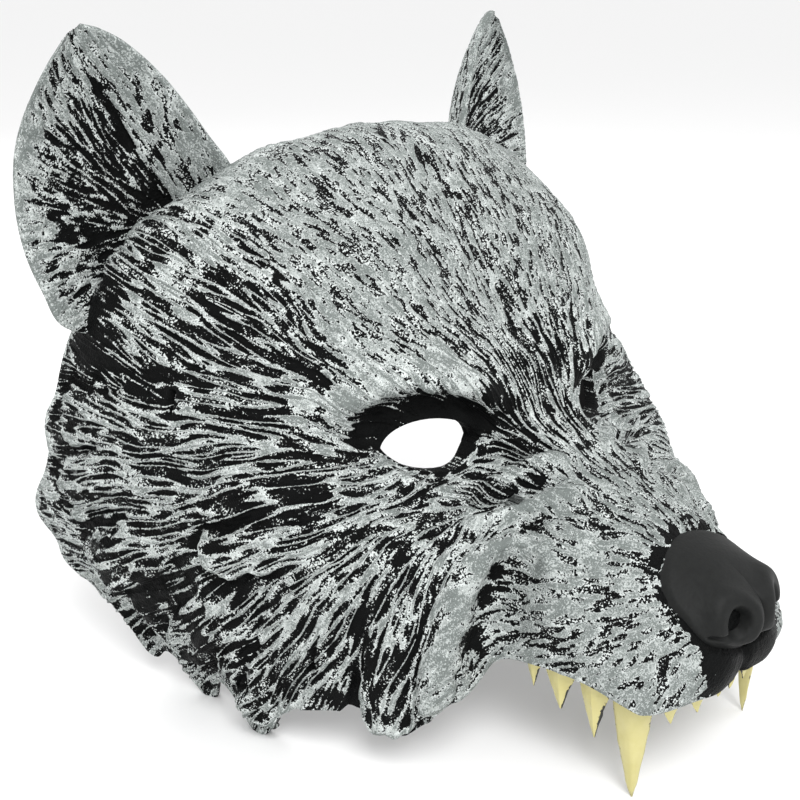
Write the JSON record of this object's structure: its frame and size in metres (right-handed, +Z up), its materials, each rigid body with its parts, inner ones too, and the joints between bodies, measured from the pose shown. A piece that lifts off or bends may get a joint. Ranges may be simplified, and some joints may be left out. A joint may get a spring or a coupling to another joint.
{
  "type": "wolf mask",
  "caption": "Half-face moulded wolf mask with fur relief, pointed ears, eye holes, a black nose and bared upper teeth, worn over the forehead and nose with a strap through side slots.",
  "frame": {"origin": "on the resting plane, under the middle of the whole", "axes": "+X the wearer's left, -Y the way the mask faces, +Z up"},
  "size_m": [0.2422, 0.2186, 0.221],
  "materials": {
    "fur": "black with silver-grey dry-brushed ridges, satin",
    "nose": "matte black",
    "tooth": "painted pale yellow, satin"
  },
  "bodies": {
    "root": {"face_shell": "fur", "ear_left": "fur", "ear_right": "fur", "nose_pad": "nose", "incisor_1_left": "tooth", "incisor_1_right": "tooth", "incisor_2_left": "tooth", "incisor_2_right": "tooth", "incisor_3_left": "tooth", "incisor_3_right": "tooth", "canine_left": "tooth", "canine_right": "tooth", "premolar_1_left": "tooth", "premolar_1_right": "tooth", "premolar_2_left": "tooth", "premolar_2_right": "tooth", "premolar_3_left": "tooth", "premolar_3_right": "tooth"}
  },
  "joints": []
}
